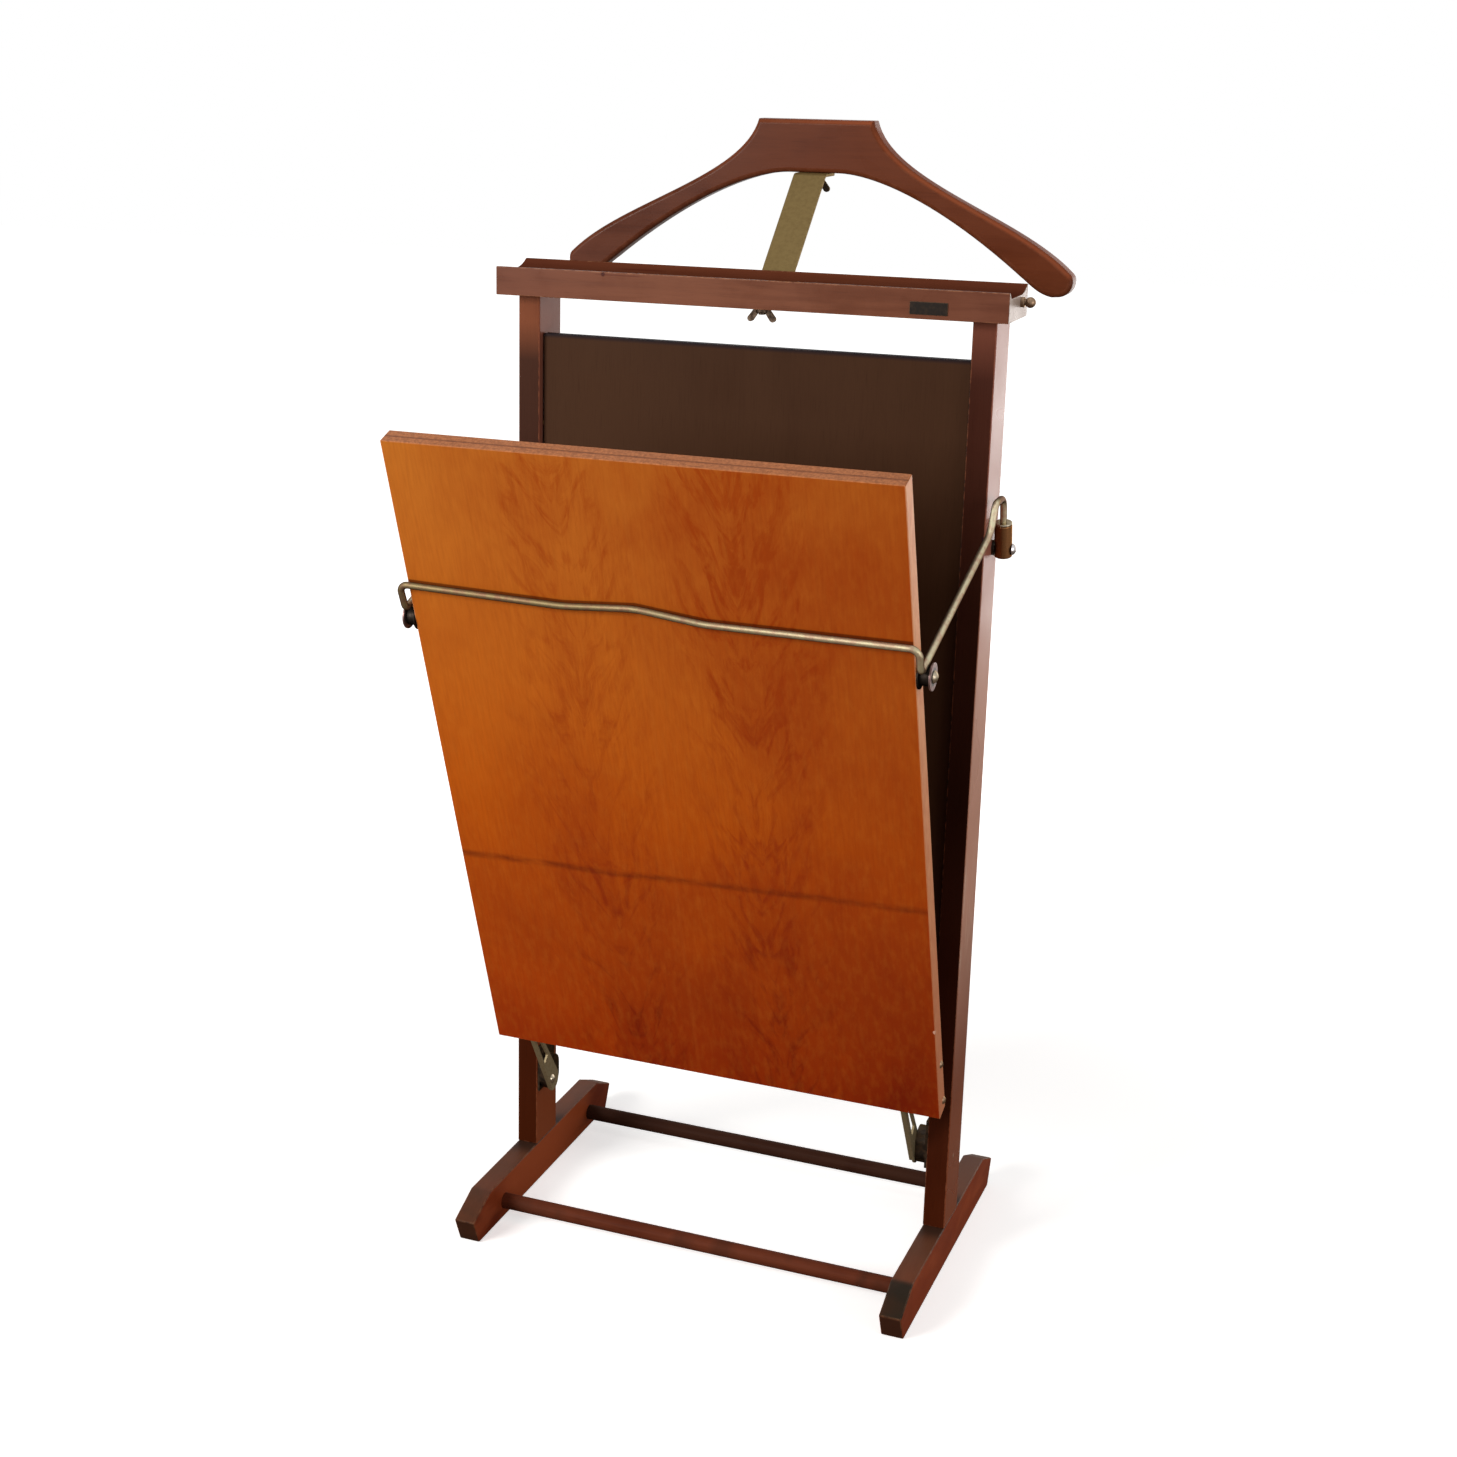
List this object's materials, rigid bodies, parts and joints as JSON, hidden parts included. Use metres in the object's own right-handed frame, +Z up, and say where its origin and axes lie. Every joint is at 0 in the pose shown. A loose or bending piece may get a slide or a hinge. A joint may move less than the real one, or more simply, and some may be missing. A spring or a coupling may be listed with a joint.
{
  "type": "clothes valet",
  "caption": "Standing clothes valet with a tray rail, a fold-out press board held by a wire bail, and a coat hanger on a bent strap.",
  "frame": {"origin": "on the floor, under the middle of the whole valet's box", "axes": "+Z up, +Y to the back, +X to the right seen from the front"},
  "size_m": [0.4806, 0.4494, 1.017],
  "materials": {
    "stand_wood": "satin varnish, reddish brown",
    "rail_wood": "satin varnish, brown",
    "dark_wood": "satin, nearly black brown",
    "panel_wood": "satin, dark brown",
    "board_wood": "satin, orange brown flame grain",
    "hanger_wood": "gloss varnish, dark reddish brown",
    "dowel_wood": "bare beech",
    "label": "dark, blank",
    "dark_metal": "dark bronze",
    "strap_metal": "aged, olive brass",
    "wire_metal": "antique brass plating",
    "sleeve_metal": "bronzed",
    "bright_metal": "bright, lightly worn",
    "washer_metal": "dull, warm grey",
    "nut_metal": "aged, dull",
    "spring_steel": "plain wire"
  },
  "bodies": {
    "stand": {"foot_left": "stand_wood", "foot_right": "stand_wood", "post_left": "stand_wood", "post_right": "stand_wood", "stretcher_front": "dark_wood", "stretcher_rear": "dark_wood", "frame_dowels": "dowel_wood", "tray_rail": "rail_wood", "rail_knob_left": "dark_metal", "rail_knob_right": "dark_metal", "label_plate": "label", "rear_panel": "panel_wood", "panel_dowels": "dowel_wood", "hinge_bracket_left": "dark_metal", "hinge_bracket_right": "dark_metal", "bracket_bolts": "washer_metal", "bracket_screws": "nut_metal", "hinge_pins": "bright_metal", "pivot_screws": "bright_metal", "pivot_washers": "dark_metal", "hanger_strap": "strap_metal", "rail_bolt": "nut_metal"},
    "board": {"front_board": "board_wood", "hinge_arm_left": "strap_metal", "hinge_arm_right": "strap_metal", "arm_screws": "bright_metal", "roller_washers": "washer_metal", "roller_screws": "bright_metal"},
    "left_roller": {"roller_left": "dark_metal"},
    "right_roller": {"roller_right": "dark_metal"},
    "sleeves": {"bail_sleeve_left": "sleeve_metal", "bail_sleeve_right": "sleeve_metal", "sleeve_caps": "wire_metal", "bail_springs": "spring_steel"},
    "bail": {"bail_wire": "wire_metal", "wire_end_nuts": "nut_metal"},
    "coat_hanger": {"hanger": "hanger_wood", "hanger_bolt": "nut_metal"},
    "rail_nut": {"rail_wing_nut": "nut_metal"},
    "hanger_nut": {"hanger_wing_nut": "nut_metal"}
  },
  "joints": [
    {"name": "board_tilt", "type": "hinge", "parent": "stand", "child": "board", "pos_m": [0, 0.04273, 0.111], "axis": [-1, 0, 0], "range_deg": [0, 19.87]},
    {"name": "left_roller_turn", "type": "hinge", "parent": "board", "child": "left_roller", "pos_m": [-0.221, -0.15774, 0.6173], "axis": [1, 0, 0], "continuous": true},
    {"name": "right_roller_turn", "type": "hinge", "parent": "board", "child": "right_roller", "pos_m": [0.221, -0.15774, 0.6173], "axis": [1, 0, 0], "continuous": true},
    {"name": "bail_swing", "type": "hinge", "parent": "stand", "child": "sleeves", "pos_m": [0, 0.06773, 0.673], "axis": [-1, 0, 0], "range_deg": [0, 80]},
    {"name": "bail_pull", "type": "slide", "parent": "sleeves", "child": "bail", "axis": [0, -0.2181, 0.9759], "range_m": [0, 0.005], "stiffness_N_per_m": 1500, "deforming": ["bail_springs"]},
    {"name": "hanger_swivel", "type": "hinge", "parent": "stand", "child": "coat_hanger", "pos_m": [0, 0.21373, 0.9705], "axis": [0, 0, 1], "range_deg": [-25, 25]},
    {"name": "rail_nut_turn", "type": "hinge", "parent": "stand", "child": "rail_nut", "pos_m": [0, 0.07273, 0.862], "axis": [0, 0, 1], "continuous": true},
    {"name": "hanger_nut_turn", "type": "hinge", "parent": "coat_hanger", "child": "hanger_nut", "pos_m": [0, 0.21373, 0.964], "axis": [0, 0, 1], "continuous": true}
  ],
  "couplings": [
    {"joint": "bail_swing", "follows": "board_tilt", "ratio": 4}
  ]
}
